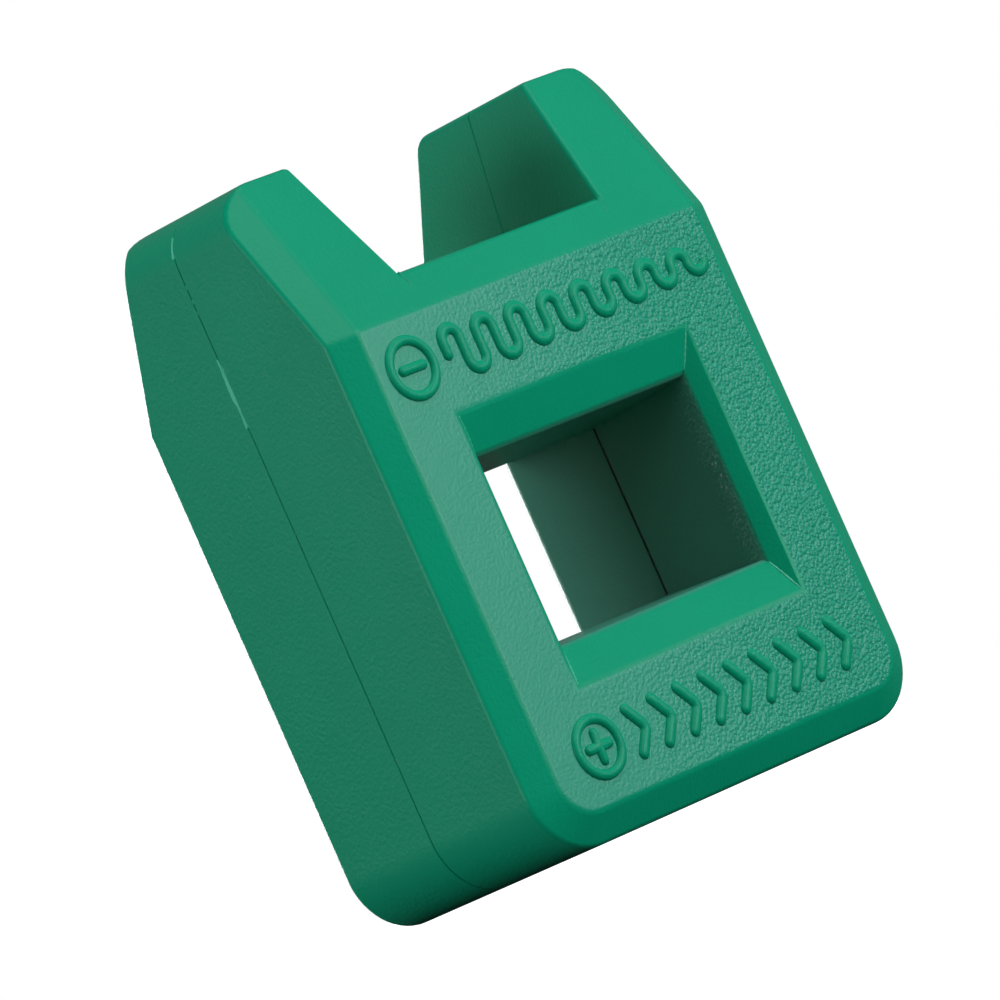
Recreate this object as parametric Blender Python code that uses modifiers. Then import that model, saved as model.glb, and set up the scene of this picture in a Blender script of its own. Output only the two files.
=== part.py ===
"""Block magnetiser and demagnetiser for watch screwdrivers and tweezers.

A green two-part moulded case stands on its base.  The square window through its lower half magnetises a
blade and the open notch between the two horns demagnetises it.  Inside are two ferrite magnets beside the
window on a bent steel yoke, two smaller reversed magnets with steel plates in the horns, and foam pads.

Frame: metres, +Z up, X across the width, the marked front face looks along -Y.
The origin is the middle of the underside.
"""
import math

import bmesh
import bpy
from mathutils import Matrix, Vector

MM = 0.001

# Case, outer form
CASE_WIDTH = 39.5 * MM
CASE_DEPTH = 23.0 * MM
CASE_HEIGHT = 52.2 * MM
SHOULDER_HEIGHT = 39.15 * MM
FRONT_TOP_REACH = 6.0 * MM
REAR_TOP_REACH = 6.6 * MM
BOTTOM_CORNER_RADIUS = 5.0 * MM
TOP_CORNER_RADIUS = 3.5 * MM
BAND_INSET = 2.2 * MM
BAND_DEPTH = 1.3 * MM
PARTING_Y = 0.4 * MM
PARTING_GAP = 0.3 * MM
CORNER_STEPS = 8
SHARP_ANGLE = math.radians(22)

# Case, walls
WALL = 1.6 * MM
SLEEVE_WALL = 1.4 * MM
FIT_GAP = 0.3 * MM

# Window: a shallow funnel in each face, then a passage that narrows towards the parting plane
WINDOW_Z = 21.0 * MM
WINDOW_HALF_WIDTH = 12.0 * MM
WINDOW_HALF_HEIGHT = 10.5 * MM
FUNNEL_DEPTH = 1.25 * MM
PASSAGE_HALF_WIDTH = 10.9 * MM
PASSAGE_HALF_HEIGHT = 7.15 * MM
PASSAGE_WAIST_HALF_HEIGHT = 6.55 * MM

# Notch between the horns
NOTCH_FLOOR_Z = 42.2 * MM
NOTCH_FLOOR_HALF_WIDTH = 10.4 * MM
NOTCH_TOP_HALF_WIDTH = 12.1 * MM

# Raised marks on the front face: each is a round line (radius, depth), sunk by less than its radius
RING_LINE = (0.36 * MM, 0.08 * MM)
SIGN_LINE = (0.52 * MM, 0.20 * MM)
RING_RADIUS = 1.97 * MM
RING_STEPS = 24
RING_BAR_HALF_LENGTH = 0.95 * MM
UPPER_MARK_Z = 35.5 * MM
UPPER_RING_X = -14.2 * MM
LOWER_MARK_Z = 6.3 * MM
LOWER_RING_X = -12.6 * MM
WAVE_START_X = -10.6 * MM
WAVE_END_X = 16.2 * MM
WAVE_HALF_HEIGHT = 1.75 * MM
WAVE_ARCHES = 16
WAVE_ARCH_STEPS = 6
CHEVRON_START_X = -8.9 * MM
CHEVRON_PITCH = 2.7 * MM
CHEVRON_COUNT = 9
CHEVRON_HALF_HEIGHT = 1.65 * MM
CHEVRON_REACH = 1.25 * MM
CHEVRON_TIP_RADIUS = 0.6 * MM
CHEVRON_TIP_STEPS = 4

# Locating pins and their sockets
BOSS_RADIUS = 2.0 * MM
PIN_RADIUS = 1.0 * MM
PIN_LENGTH = 2.2 * MM
SOCKET_RADIUS = 1.3 * MM
SOCKET_DEPTH = 2.8 * MM
BOSS_PLACES = ((-8.5 * MM, 7.6 * MM), (8.5 * MM, 7.6 * MM), (-7.5 * MM, 36.2 * MM), (7.5 * MM, 36.2 * MM))
ROUND_STEPS = 20

# Window magnets, their pads and the yoke behind them
PAD_THICKNESS = 0.4 * MM
WINDOW_MAGNET = Vector((3.4, 17.0, 15.0)) * MM
WINDOW_PAD = Vector((0.4, 12.0, 10.0)) * MM
YOKE_THICKNESS = 0.8 * MM
YOKE_DEPTH = 14.0 * MM
YOKE_TOP_Z = 28.4 * MM
YOKE_BEND_RADIUS = 3.1 * MM
YOKE_BEND_STEPS = 6

# Ribs that hold the magnets; each bites a little into the walls it stands on
RIB_THICKNESS = 1.0 * MM
RIB_REACH_Y = 6.4 * MM
RIB_BITE = 0.35 * MM
SHELF_Z = 40.1 * MM

# Notch magnets, their pads and the steel plates behind them
NOTCH_MAGNET = Vector((2.2, 9.4, 6.0)) * MM
NOTCH_PAD = Vector((0.4, 7.0, 4.4)) * MM
NOTCH_PLATE = Vector((0.8, 9.0, 6.0)) * MM
NOTCH_MAGNET_Z = 44.4 * MM
EDGE_ROUND = 0.3 * MM
EDGE_ROUND_STEPS = 2

# Values worked out from the ones above
SLOPE_RISE = CASE_HEIGHT - SHOULDER_HEIGHT
FRONT_SLOPE_RUN = (CASE_DEPTH / 2 - FRONT_TOP_REACH) / SLOPE_RISE
REAR_SLOPE_RUN = (CASE_DEPTH / 2 - REAR_TOP_REACH) / SLOPE_RISE
SLOPE_ANGLE = math.atan((FRONT_SLOPE_RUN + REAR_SLOPE_RUN) / 2)
NOTCH_LEAN = math.atan((NOTCH_TOP_HALF_WIDTH - NOTCH_FLOOR_HALF_WIDTH) / (CASE_HEIGHT - NOTCH_FLOOR_Z))
FRONT_Y = -CASE_DEPTH / 2
OVERSHOOT = 4.0 * MM
MERGE = 0.00001


def clear_scene():
    for obj in list(bpy.data.objects):
        bpy.data.objects.remove(obj, do_unlink=True)


def new_collection(name):
    collection = bpy.data.collections.new(name)
    bpy.context.scene.collection.children.link(collection)
    return collection


def plain_material(name, colour, roughness, metallic):
    material = bpy.data.materials.new(name)
    material.use_nodes = True
    shader = material.node_tree.nodes["Principled BSDF"]
    shader.inputs["Base Color"].default_value = (*colour, 1.0)
    shader.inputs["Roughness"].default_value = roughness
    shader.inputs["Metallic"].default_value = metallic
    material.diffuse_color = (*colour, 1.0)
    return material


def add_mesh_object(name, mesh, collection):
    obj = bpy.data.objects.new(name, mesh)
    collection.objects.link(obj)
    return obj


def as_cutter(obj):
    obj.hide_render = True
    obj.display_type = "WIRE"
    return obj


def apply_modifiers(obj):
    """Replace the object's mesh by its evaluated mesh and drop the modifiers."""
    graph = bpy.context.evaluated_depsgraph_get()
    mesh = bpy.data.meshes.new_from_object(obj.evaluated_get(graph))
    old = obj.data
    obj.modifiers.clear()
    obj.data = mesh
    bpy.data.meshes.remove(old)


def combine(obj, other, operation):
    """Boolean of obj with other, applied at once; other stays as it is."""
    modifier = obj.modifiers.new(operation.lower(), "BOOLEAN")
    modifier.operation = operation
    modifier.solver = "EXACT"
    modifier.object = other
    bpy.context.view_layer.update()
    apply_modifiers(obj)


def shade_round(obj):
    obj.data.shade_smooth()
    obj.data.set_sharp_from_angle(angle=SHARP_ANGLE)


def arc(centre_x, centre_z, radius, start, end, steps=CORNER_STEPS):
    """Points on an arc, angles in degrees."""
    points = []
    for step in range(steps + 1):
        angle = math.radians(start + (end - start) * step / steps)
        points.append((centre_x + radius * math.cos(angle), centre_z + radius * math.sin(angle)))
    return points


def outline_prism(name, points, half_depth, collection, band=(0.0, 0.0)):
    """Closed XZ outline extruded to y = -half_depth .. half_depth, with an optional flat band round both ends.

    band is (inset, depth): the outline shrinks by inset over the last depth of the extrusion.
    """
    inset, depth = band
    stretch = depth / inset if inset else 1.0
    curve = bpy.data.curves.new(name, "CURVE")
    curve.dimensions = "2D"
    curve.fill_mode = "BOTH"
    curve.extrude = half_depth / stretch - inset
    curve.bevel_depth = inset
    curve.bevel_resolution = 0
    curve.offset = -inset
    spline = curve.splines.new("POLY")
    spline.points.add(len(points) - 1)
    for point, (x, z) in zip(spline.points, points):
        point.co = (x, z, 0.0, 1.0)
    spline.use_cyclic_u = True
    guide = bpy.data.objects.new(name + "_outline", curve)
    collection.objects.link(guide)
    guide.matrix_world = Matrix.Rotation(math.radians(90), 4, "X") @ Matrix.Diagonal((1, 1, stretch, 1))
    bpy.context.view_layer.update()
    graph = bpy.context.evaluated_depsgraph_get()
    mesh = bpy.data.meshes.new_from_object(guide.evaluated_get(graph))
    mesh.transform(guide.matrix_world)
    bpy.data.objects.remove(guide, do_unlink=True)
    weld(mesh)
    return add_mesh_object(name, mesh, collection)


def weld(mesh):
    work = bmesh.new()
    work.from_mesh(mesh)
    bmesh.ops.remove_doubles(work, verts=work.verts, dist=MERGE)
    bmesh.ops.recalc_face_normals(work, faces=work.faces)
    work.to_mesh(mesh)
    work.free()


def box(name, low, high, collection):
    low = Vector(low)
    high = Vector(high)
    work = bmesh.new()
    bmesh.ops.create_cube(work, size=1.0)
    for vert in work.verts:
        vert.co = Vector([(low[i] + high[i]) / 2 + vert.co[i] * (high[i] - low[i]) for i in range(3)])
    mesh = bpy.data.meshes.new(name)
    work.to_mesh(mesh)
    work.free()
    return add_mesh_object(name, mesh, collection)


def rod(name, radius, low_y, high_y, place, collection):
    """Cylinder along Y at place (x, z)."""
    work = bmesh.new()
    length = high_y - low_y
    bmesh.ops.create_cone(work, cap_ends=True, segments=ROUND_STEPS, radius1=radius, radius2=radius, depth=length)
    turn = Matrix.Translation((place[0], (low_y + high_y) / 2, place[1])) @ Matrix.Rotation(math.radians(90), 4, "X")
    bmesh.ops.transform(work, matrix=turn, verts=work.verts)
    mesh = bpy.data.meshes.new(name)
    work.to_mesh(mesh)
    work.free()
    return add_mesh_object(name, mesh, collection)


def rectangle_loft(name, sections, centre_z, collection):
    """Closed solid through rectangles of unlike size; each section is (y, half width, half height)."""
    work = bmesh.new()
    rings = []
    for y, half_width, half_height in sections:
        corners = ((-1, -1), (1, -1), (1, 1), (-1, 1))
        rings.append([work.verts.new((i * half_width, y, centre_z + j * half_height)) for i, j in corners])
    work.faces.new(rings[0])
    work.faces.new(reversed(rings[-1]))
    for ring, following in zip(rings, rings[1:]):
        for i in range(4):
            j = (i + 1) % 4
            work.faces.new((ring[i], following[i], following[j], ring[j]))
    bmesh.ops.recalc_face_normals(work, faces=work.faces)
    mesh = bpy.data.meshes.new(name)
    work.to_mesh(mesh)
    work.free()
    return add_mesh_object(name, mesh, collection)


def case_block(name, inset, collection):
    """The case's outer form, or with an inset the same form one wall thickness smaller."""
    half_width = CASE_WIDTH / 2 - inset
    radius = BOTTOM_CORNER_RADIUS - inset
    top = CASE_HEIGHT + OVERSHOOT
    points = arc(-half_width + radius, inset + radius, radius, 180, 270)
    points += arc(half_width - radius, inset + radius, radius, 270, 360)
    points += [(half_width, top), (-half_width, top)]
    block = outline_prism(name, points, CASE_DEPTH / 2 - inset, collection, (BAND_INSET, BAND_DEPTH))
    lean_in_above_shoulder(block.data, SHOULDER_HEIGHT - inset * math.tan(SLOPE_ANGLE / 2))
    radius = TOP_CORNER_RADIUS - inset
    height = CASE_HEIGHT - inset
    below = -OVERSHOOT
    points = [(-half_width - OVERSHOOT, below), (half_width + OVERSHOOT, below)]
    points += [(half_width + OVERSHOOT, SHOULDER_HEIGHT), (half_width, SHOULDER_HEIGHT)]
    points += arc(half_width - radius, height - radius, radius, 0, 90)
    points += arc(-half_width + radius, height - radius, radius, 90, 180)
    points += [(-half_width, SHOULDER_HEIGHT), (-half_width - OVERSHOOT, SHOULDER_HEIGHT)]
    trim = as_cutter(outline_prism(name + "_trim", points, CASE_DEPTH, cutters))
    combine(block, trim, "INTERSECT")
    return block


def lean_in_above_shoulder(mesh, shoulder):
    """Bend the front and rear faces inwards above the shoulder, keeping the flanks flat."""
    work = bmesh.new()
    work.from_mesh(mesh)
    geometry = work.verts[:] + work.edges[:] + work.faces[:]
    bmesh.ops.bisect_plane(work, geom=geometry, dist=MERGE, plane_co=(0, 0, shoulder), plane_no=(0, 0, 1))
    for vert in work.verts:
        rise = vert.co.z - shoulder
        if rise > MERGE:
            vert.co.y += rise * (FRONT_SLOPE_RUN if vert.co.y < 0 else -REAR_SLOPE_RUN)
    work.to_mesh(mesh)
    work.free()


def window_solid(name, grow, collection):
    """The space of the window; with grow it is the sleeve of wall round that space."""
    end = CASE_DEPTH / 2
    throat = end - FUNNEL_DEPTH
    mouth = (WINDOW_HALF_WIDTH + grow, WINDOW_HALF_HEIGHT + grow)
    passage = (PASSAGE_HALF_WIDTH + grow, PASSAGE_HALF_HEIGHT + grow)
    waist = (PASSAGE_HALF_WIDTH + grow, PASSAGE_WAIST_HALF_HEIGHT + grow)
    sections = [(-end - OVERSHOOT, *mouth), (-end, *mouth), (-throat, *passage), (PARTING_Y, *waist)]
    sections += [(throat, *passage), (end, *mouth), (end + OVERSHOOT, *mouth)]
    return as_cutter(rectangle_loft(name, sections, WINDOW_Z, collection))


def notch_solid(name, grow, collection):
    """The space of the notch; with grow it is the sleeve of wall round that space."""
    floor = NOTCH_FLOOR_Z - grow
    top = CASE_HEIGHT + OVERSHOOT
    side = grow / math.cos(NOTCH_LEAN)
    low = NOTCH_FLOOR_HALF_WIDTH + side + (floor - NOTCH_FLOOR_Z) * math.tan(NOTCH_LEAN)
    high = NOTCH_FLOOR_HALF_WIDTH + side + (top - NOTCH_FLOOR_Z) * math.tan(NOTCH_LEAN)
    points = [(-low, floor), (low, floor), (high, top), (-high, top)]
    return as_cutter(outline_prism(name, points, CASE_DEPTH, collection))


def mark_line(name, points, closed, line):
    """Raised line with a round back along (x, z) points; line is (radius, depth it is sunk)."""
    radius, sink = line
    curve = bpy.data.curves.new(name, "CURVE")
    curve.dimensions = "3D"
    curve.bevel_depth = radius
    curve.bevel_resolution = 1
    curve.use_fill_caps = True
    spline = curve.splines.new("POLY")
    spline.points.add(len(points) - 1)
    for point, (x, z) in zip(spline.points, points):
        point.co = (x, FRONT_Y + sink, z, 1.0)
    spline.use_cyclic_u = closed
    guide = bpy.data.objects.new(name + "_line", curve)
    cutters.objects.link(guide)
    bpy.context.view_layer.update()
    graph = bpy.context.evaluated_depsgraph_get()
    mesh = bpy.data.meshes.new_from_object(guide.evaluated_get(graph))
    bpy.data.objects.remove(guide, do_unlink=True)
    weld(mesh)
    return as_cutter(add_mesh_object(name, mesh, cutters))


def ring_points(centre_x, centre_z):
    return arc(centre_x, centre_z, RING_RADIUS, 0, 360, RING_STEPS)[:-1]


def wave_points():
    """A row of arches, up and down in turn, whose height dies away: a sign for demagnetising."""
    radius = (WAVE_END_X - WAVE_START_X) / WAVE_ARCHES / 2
    points = [(WAVE_START_X, UPPER_MARK_Z)]
    for index in range(WAVE_ARCHES):
        side = 1 if index % 2 == 0 else -1
        leg = (WAVE_HALF_HEIGHT - radius) * (1 - index / (WAVE_ARCHES - 1))
        centre_x = WAVE_START_X + (2 * index + 1) * radius
        points += arc(centre_x, UPPER_MARK_Z + side * leg, radius, side * 180, 0, WAVE_ARCH_STEPS)
    points.append((WAVE_END_X, UPPER_MARK_Z))
    return points


def chevron_points(index):
    """A bracket pointing to +X with a rounded tip."""
    x = CHEVRON_START_X + CHEVRON_PITCH * index
    lean = math.atan(CHEVRON_REACH / CHEVRON_HALF_HEIGHT)
    centre_x = x + CHEVRON_REACH - CHEVRON_TIP_RADIUS / math.cos(lean)
    turn = math.degrees(lean)
    points = [(x, LOWER_MARK_Z + CHEVRON_HALF_HEIGHT)]
    points += arc(centre_x, LOWER_MARK_Z, CHEVRON_TIP_RADIUS, turn, -turn, CHEVRON_TIP_STEPS)
    points += [(x, LOWER_MARK_Z - CHEVRON_HALF_HEIGHT)]
    return points


def front_marks():
    """Minus ring and dying wave above the window, plus ring and like-pointing chevrons below it."""
    reach = RING_BAR_HALF_LENGTH
    upper_bar = [(UPPER_RING_X - reach, UPPER_MARK_Z), (UPPER_RING_X + reach, UPPER_MARK_Z)]
    lower_bar = [(LOWER_RING_X - reach, LOWER_MARK_Z), (LOWER_RING_X + reach, LOWER_MARK_Z)]
    lower_post = [(LOWER_RING_X, LOWER_MARK_Z - reach), (LOWER_RING_X, LOWER_MARK_Z + reach)]
    marks = [
        mark_line("minus_ring", ring_points(UPPER_RING_X, UPPER_MARK_Z), True, RING_LINE),
        mark_line("minus_bar", upper_bar, False, RING_LINE),
        mark_line("dying_wave", wave_points(), False, SIGN_LINE),
        mark_line("plus_ring", ring_points(LOWER_RING_X, LOWER_MARK_Z), True, RING_LINE),
        mark_line("plus_bar", lower_bar, False, RING_LINE),
        mark_line("plus_post", lower_post, False, RING_LINE),
    ]
    for index in range(CHEVRON_COUNT):
        marks.append(mark_line(f"chevron_{index + 1}", chevron_points(index), False, SIGN_LINE))
    return marks


def add_rib(shell, side_x, side_y, span_x, span_z):
    """Rib from the face wall towards the parting plane; span_x is measured outwards on one side."""
    wall_y = side_y * (CASE_DEPTH / 2 - WALL + RIB_BITE)
    tip_y = PARTING_Y + side_y * (CASE_DEPTH / 2 - WALL - RIB_REACH_Y)
    xs = sorted(side_x * x for x in span_x)
    ys = sorted((wall_y, tip_y))
    zs = sorted(span_z)
    rib = as_cutter(box("rib", (xs[0], ys[0], zs[0]), (xs[1], ys[1], zs[1]), cutters))
    combine(shell, rib, "UNION")


def pocket_ribs(shell, side_y):
    """Ribs above and below each window magnet, and a shelf under the stack in each horn."""
    sleeve_x = PASSAGE_HALF_WIDTH + SLEEVE_WALL
    magnet_span = (sleeve_x - RIB_BITE, sleeve_x + 2 * FIT_GAP + PAD_THICKNESS + WINDOW_MAGNET.x)
    shelf_span = (sleeve_x, CASE_WIDTH / 2 - WALL + RIB_BITE)
    for side_x in (-1, 1):
        for side_z in (-1, 1):
            near_z = WINDOW_Z + side_z * (WINDOW_MAGNET.z / 2 + FIT_GAP)
            add_rib(shell, side_x, side_y, magnet_span, (near_z, near_z + side_z * RIB_THICKNESS))
        add_rib(shell, side_x, side_y, shelf_span, (SHELF_Z, SHELF_Z - RIB_THICKNESS))


def case_half(name, side_y, hollow):
    """One moulded half of the case: -1 is the marked front, 1 is the rear."""
    near = PARTING_Y + side_y * PARTING_GAP / 2
    far = side_y * CASE_DEPTH
    ys = sorted((near, far))
    shell = case_block(name, 0.0, parts)
    for space in (window_solid(name + "_window", 0.0, cutters), notch_solid(name + "_notch", 0.0, cutters)):
        combine(shell, space, "DIFFERENCE")
    combine(shell, hollow, "DIFFERENCE")
    side = box(name + "_side", (-CASE_WIDTH, ys[0], -CASE_HEIGHT), (CASE_WIDTH, ys[1], 2 * CASE_HEIGHT), cutters)
    combine(shell, as_cutter(side), "INTERSECT")
    pocket_ribs(shell, side_y)
    ys = sorted((side_y * (CASE_DEPTH / 2 - WALL + RIB_BITE), near))
    for place in BOSS_PLACES:
        combine(shell, as_cutter(rod("boss", BOSS_RADIUS, *ys, place, cutters)), "UNION")
    return shell


def hollow_solid():
    """The space inside the closed case, outside the window's and the notch's sleeves."""
    hollow = as_cutter(case_block("hollow", WALL, cutters))
    combine(hollow, window_solid("window_sleeve", SLEEVE_WALL, cutters), "DIFFERENCE")
    combine(hollow, notch_solid("notch_sleeve", SLEEVE_WALL, cutters), "DIFFERENCE")
    return hollow


def build_shells(material):
    hollow = hollow_solid()
    front = case_half("front_shell", -1, hollow)
    rear = case_half("rear_shell", 1, hollow)
    for place in BOSS_PLACES:
        pin = rod("pin", PIN_RADIUS, PARTING_Y - PARTING_GAP - PIN_LENGTH, PARTING_Y + PIN_LENGTH, place, cutters)
        combine(front, as_cutter(pin), "UNION")
        socket = rod("socket", SOCKET_RADIUS, PARTING_Y - PARTING_GAP, PARTING_Y + SOCKET_DEPTH, place, cutters)
        combine(rear, as_cutter(socket), "DIFFERENCE")
    for mark in front_marks():
        combine(front, mark, "UNION")
    for shell in (front, rear):
        shell.data.materials.clear()
        shell.data.materials.append(material)
        shade_round(shell)


def block(name, size, centre, lean, material, rounded=True):
    """Box of the given size leaning about Y, placed by its centre, with rounded or sharp edges."""
    half = size / 2
    piece = box(name, -half, half, parts)
    piece.location = centre
    piece.rotation_euler = (0, lean, 0)
    piece.data.materials.append(material)
    if rounded:
        bevel = piece.modifiers.new("edges", "BEVEL")
        bevel.width = EDGE_ROUND
        bevel.segments = EDGE_ROUND_STEPS
        shade_round(piece)


def build_window_magnets(ferrite, foam):
    pad_x = PASSAGE_HALF_WIDTH + SLEEVE_WALL + FIT_GAP + PAD_THICKNESS / 2
    magnet_x = pad_x + PAD_THICKNESS / 2 + FIT_GAP + WINDOW_MAGNET.x / 2
    for side, word in ((-1, "left"), (1, "right")):
        centre = Vector((side * pad_x, PARTING_Y, WINDOW_Z))
        block("window_pad_" + word, WINDOW_PAD, centre, 0.0, foam, rounded=False)
        centre = Vector((side * magnet_x, PARTING_Y, WINDOW_Z))
        block("window_magnet_" + word, WINDOW_MAGNET, centre, 0.0, ferrite)
    return magnet_x + WINDOW_MAGNET.x / 2 + FIT_GAP


def build_yoke(inner_x, steel):
    """Steel strip bent to a U under the window, its legs behind the two magnets."""
    outer_x = inner_x + YOKE_THICKNESS
    bottom = WALL + FIT_GAP
    radius = YOKE_BEND_RADIUS
    path = [(-outer_x, YOKE_TOP_Z)]
    path += arc(-outer_x + radius, bottom + radius, radius, 180, 270, YOKE_BEND_STEPS)
    path += arc(outer_x - radius, bottom + radius, radius, 270, 360, YOKE_BEND_STEPS)
    path += [(outer_x, YOKE_TOP_Z)]
    work = bmesh.new()
    front = [work.verts.new((x, PARTING_Y - YOKE_DEPTH / 2, z)) for x, z in path]
    edges = [work.edges.new(pair) for pair in zip(front, front[1:])]
    swept = bmesh.ops.extrude_edge_only(work, edges=edges)["geom"]
    back = [item for item in swept if isinstance(item, bmesh.types.BMVert)]
    bmesh.ops.translate(work, verts=back, vec=(0, YOKE_DEPTH, 0))
    bmesh.ops.recalc_face_normals(work, faces=work.faces)
    mesh = bpy.data.meshes.new("steel_yoke")
    work.to_mesh(mesh)
    work.free()
    yoke = add_mesh_object("steel_yoke", mesh, parts)
    solidify = yoke.modifiers.new("strip", "SOLIDIFY")
    solidify.thickness = YOKE_THICKNESS
    solidify.offset = -1.0
    solidify.use_even_offset = True
    yoke.data.materials.append(steel)
    shade_round(yoke)


def build_notch_magnets(ferrite, foam, steel):
    """Magnet, pad and steel plate stacked behind each leaning wall of the notch."""
    wall_x = NOTCH_FLOOR_HALF_WIDTH + (NOTCH_MAGNET_Z - NOTCH_FLOOR_Z) * math.tan(NOTCH_LEAN)
    reach = SLEEVE_WALL + FIT_GAP
    stack = []
    for kind, size, material in (("pad", NOTCH_PAD, foam), ("magnet", NOTCH_MAGNET, ferrite),
                                 ("plate", NOTCH_PLATE, steel)):
        stack.append((kind, size, material, reach + size.x / 2))
        reach += size.x + FIT_GAP
    for side, word in ((-1, "left"), (1, "right")):
        away = Vector((side * math.cos(NOTCH_LEAN), 0, -math.sin(NOTCH_LEAN)))
        foot = Vector((side * wall_x, PARTING_Y, NOTCH_MAGNET_Z))
        for kind, size, material, distance in stack:
            centre = foot + away * distance
            block(f"notch_{kind}_{word}", size, centre, side * NOTCH_LEAN, material, rounded=kind != "pad")


clear_scene()
parts = new_collection("demagnetizer")
cutters = new_collection("cutters")
green_plastic = plain_material("green_plastic", (0.022, 0.33, 0.19), 0.42, 0.0)
dark_ferrite = plain_material("dark_ferrite", (0.05, 0.05, 0.055), 0.6, 0.2)
zinc_steel = plain_material("zinc_steel", (0.55, 0.56, 0.58), 0.35, 1.0)
white_foam = plain_material("white_foam", (0.75, 0.74, 0.7), 0.9, 0.0)
build_shells(green_plastic)
yoke_inner_x = build_window_magnets(dark_ferrite, white_foam)
build_yoke(yoke_inner_x, zinc_steel)
build_notch_magnets(dark_ferrite, white_foam, zinc_steel)
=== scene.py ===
"""Looks of the block demagnetizer: fine moulded shells, materials, floor, light and camera.

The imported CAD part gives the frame: the width, depth, height and parting plane of the case are read from
it. The two shells are modelled again here with rounded edges, a fine seam and moulding marks. The sealed
magnets, pads, plates and yoke stay as the CAD made them and only get their materials.
"""
import math
from contextlib import contextmanager
from functools import reduce

import bmesh
import bpy
from mathutils import Matrix, Quaternion, Vector


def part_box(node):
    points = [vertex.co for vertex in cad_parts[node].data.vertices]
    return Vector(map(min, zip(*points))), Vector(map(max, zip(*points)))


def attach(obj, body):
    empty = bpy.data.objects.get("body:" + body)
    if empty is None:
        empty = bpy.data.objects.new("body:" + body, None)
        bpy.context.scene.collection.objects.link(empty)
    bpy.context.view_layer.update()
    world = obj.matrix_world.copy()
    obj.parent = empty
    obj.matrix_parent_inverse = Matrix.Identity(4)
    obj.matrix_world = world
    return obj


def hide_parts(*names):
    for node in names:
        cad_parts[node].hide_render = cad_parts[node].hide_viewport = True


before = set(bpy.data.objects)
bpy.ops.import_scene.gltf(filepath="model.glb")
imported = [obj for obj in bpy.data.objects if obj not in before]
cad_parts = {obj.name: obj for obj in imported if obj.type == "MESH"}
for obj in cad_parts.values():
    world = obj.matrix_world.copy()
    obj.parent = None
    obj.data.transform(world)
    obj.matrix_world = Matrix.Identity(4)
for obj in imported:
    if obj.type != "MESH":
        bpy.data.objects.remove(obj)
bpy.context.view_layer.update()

MM = 0.001

# Case sizes from the frame; the CAD leaves a gap between the two shells
REAR_LOW, REAR_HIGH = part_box("rear_shell")
HALF_WIDTH = REAR_HIGH.x
HALF_DEPTH = REAR_HIGH.y
HEIGHT = REAR_HIGH.z
FRONT_Y = -HALF_DEPTH
CAD_GAP = 0.3 * MM
PARTING_Y = REAR_LOW.y - CAD_GAP / 2

# Seam between the shells: its width, and the rounding of its edges
SEAM_GAP = 0.06 * MM
SEAM_ROUND = 0.06 * MM

# Outer form, as in the CAD source
SHOULDER_HEIGHT = 39.15 * MM
FRONT_TOP_REACH = 6.0 * MM
REAR_TOP_REACH = 6.6 * MM
BOTTOM_CORNER_RADIUS = 5.0 * MM
TOP_CORNER_RADIUS = 3.5 * MM
BAND_INSET = 2.2 * MM
BAND_DEPTH = 1.3 * MM
FRONT_SLOPE_RUN = (HALF_DEPTH - FRONT_TOP_REACH) / (HEIGHT - SHOULDER_HEIGHT)
REAR_SLOPE_RUN = (HALF_DEPTH - REAR_TOP_REACH) / (HEIGHT - SHOULDER_HEIGHT)
SLOPE_ANGLE = math.atan((FRONT_SLOPE_RUN + REAR_SLOPE_RUN) / 2)

# Roundings: the shares are of CREASE_ROUND
CREASE_ROUND = 0.45 * MM
OUTER_SHARE = 0.65
MOUTH_SHARE = 0.8
ROUND_SEGMENTS = 4
CORNER_STEPS = 14
ROD_STEPS = 40

# Top corners: steps below and above the inner edge of the band; the rear ridge starts as high as this point
TOP_CORNER_STEPS = (6, 3)
RIDGE_START = 4

# Window and notch
WINDOW_Z = 21.0 * MM
WINDOW_HALF_WIDTH = 12.0 * MM
WINDOW_HALF_HEIGHT = 10.5 * MM
FUNNEL_DEPTH = 1.25 * MM
PASSAGE_HALF_WIDTH = 10.9 * MM
PASSAGE_HALF_HEIGHT = 7.15 * MM
PASSAGE_WAIST_HALF_HEIGHT = 6.55 * MM
NOTCH_FLOOR_Z = 42.2 * MM
NOTCH_FLOOR_HALF_WIDTH = 10.4 * MM
NOTCH_TOP_HALF_WIDTH = 12.1 * MM
NOTCH_LEAN = math.atan((NOTCH_TOP_HALF_WIDTH - NOTCH_FLOOR_HALF_WIDTH) / (HEIGHT - NOTCH_FLOOR_Z))

# Modelling: how far a cutter passes the case, the distance at which points merge, and the least angle of a
# plane's edge, of an edge that is rounded and of one that is shaded sharp
OVERSHOOT = 4.0 * MM
MERGE = 0.01 * MM
PLANE_ANGLE = math.radians(0.3)
CREASE_ANGLE = math.radians(19.5)
SHARP_ANGLE = math.radians(32)
NORMAL_WEIGHT = 100

# Inside of the case, as in the CAD source
WALL = 1.6 * MM
SLEEVE_WALL = 1.4 * MM
FIT_GAP = 0.3 * MM
BOSS_RADIUS = 2.0 * MM
PIN_RADIUS = 1.0 * MM
PIN_LENGTH = 2.2 * MM
SOCKET_RADIUS = 1.3 * MM
SOCKET_DEPTH = 2.8 * MM
BOSS_PLACES = (
    (-8.5 * MM, 7.6 * MM),
    (8.5 * MM, 7.6 * MM),
    (-7.5 * MM, 36.2 * MM),
    (7.5 * MM, 36.2 * MM),
)
RIB_THICKNESS = 1.0 * MM
RIB_REACH_Y = 6.4 * MM
RIB_BITE = 0.35 * MM
SHELF_Z = 40.1 * MM

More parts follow.
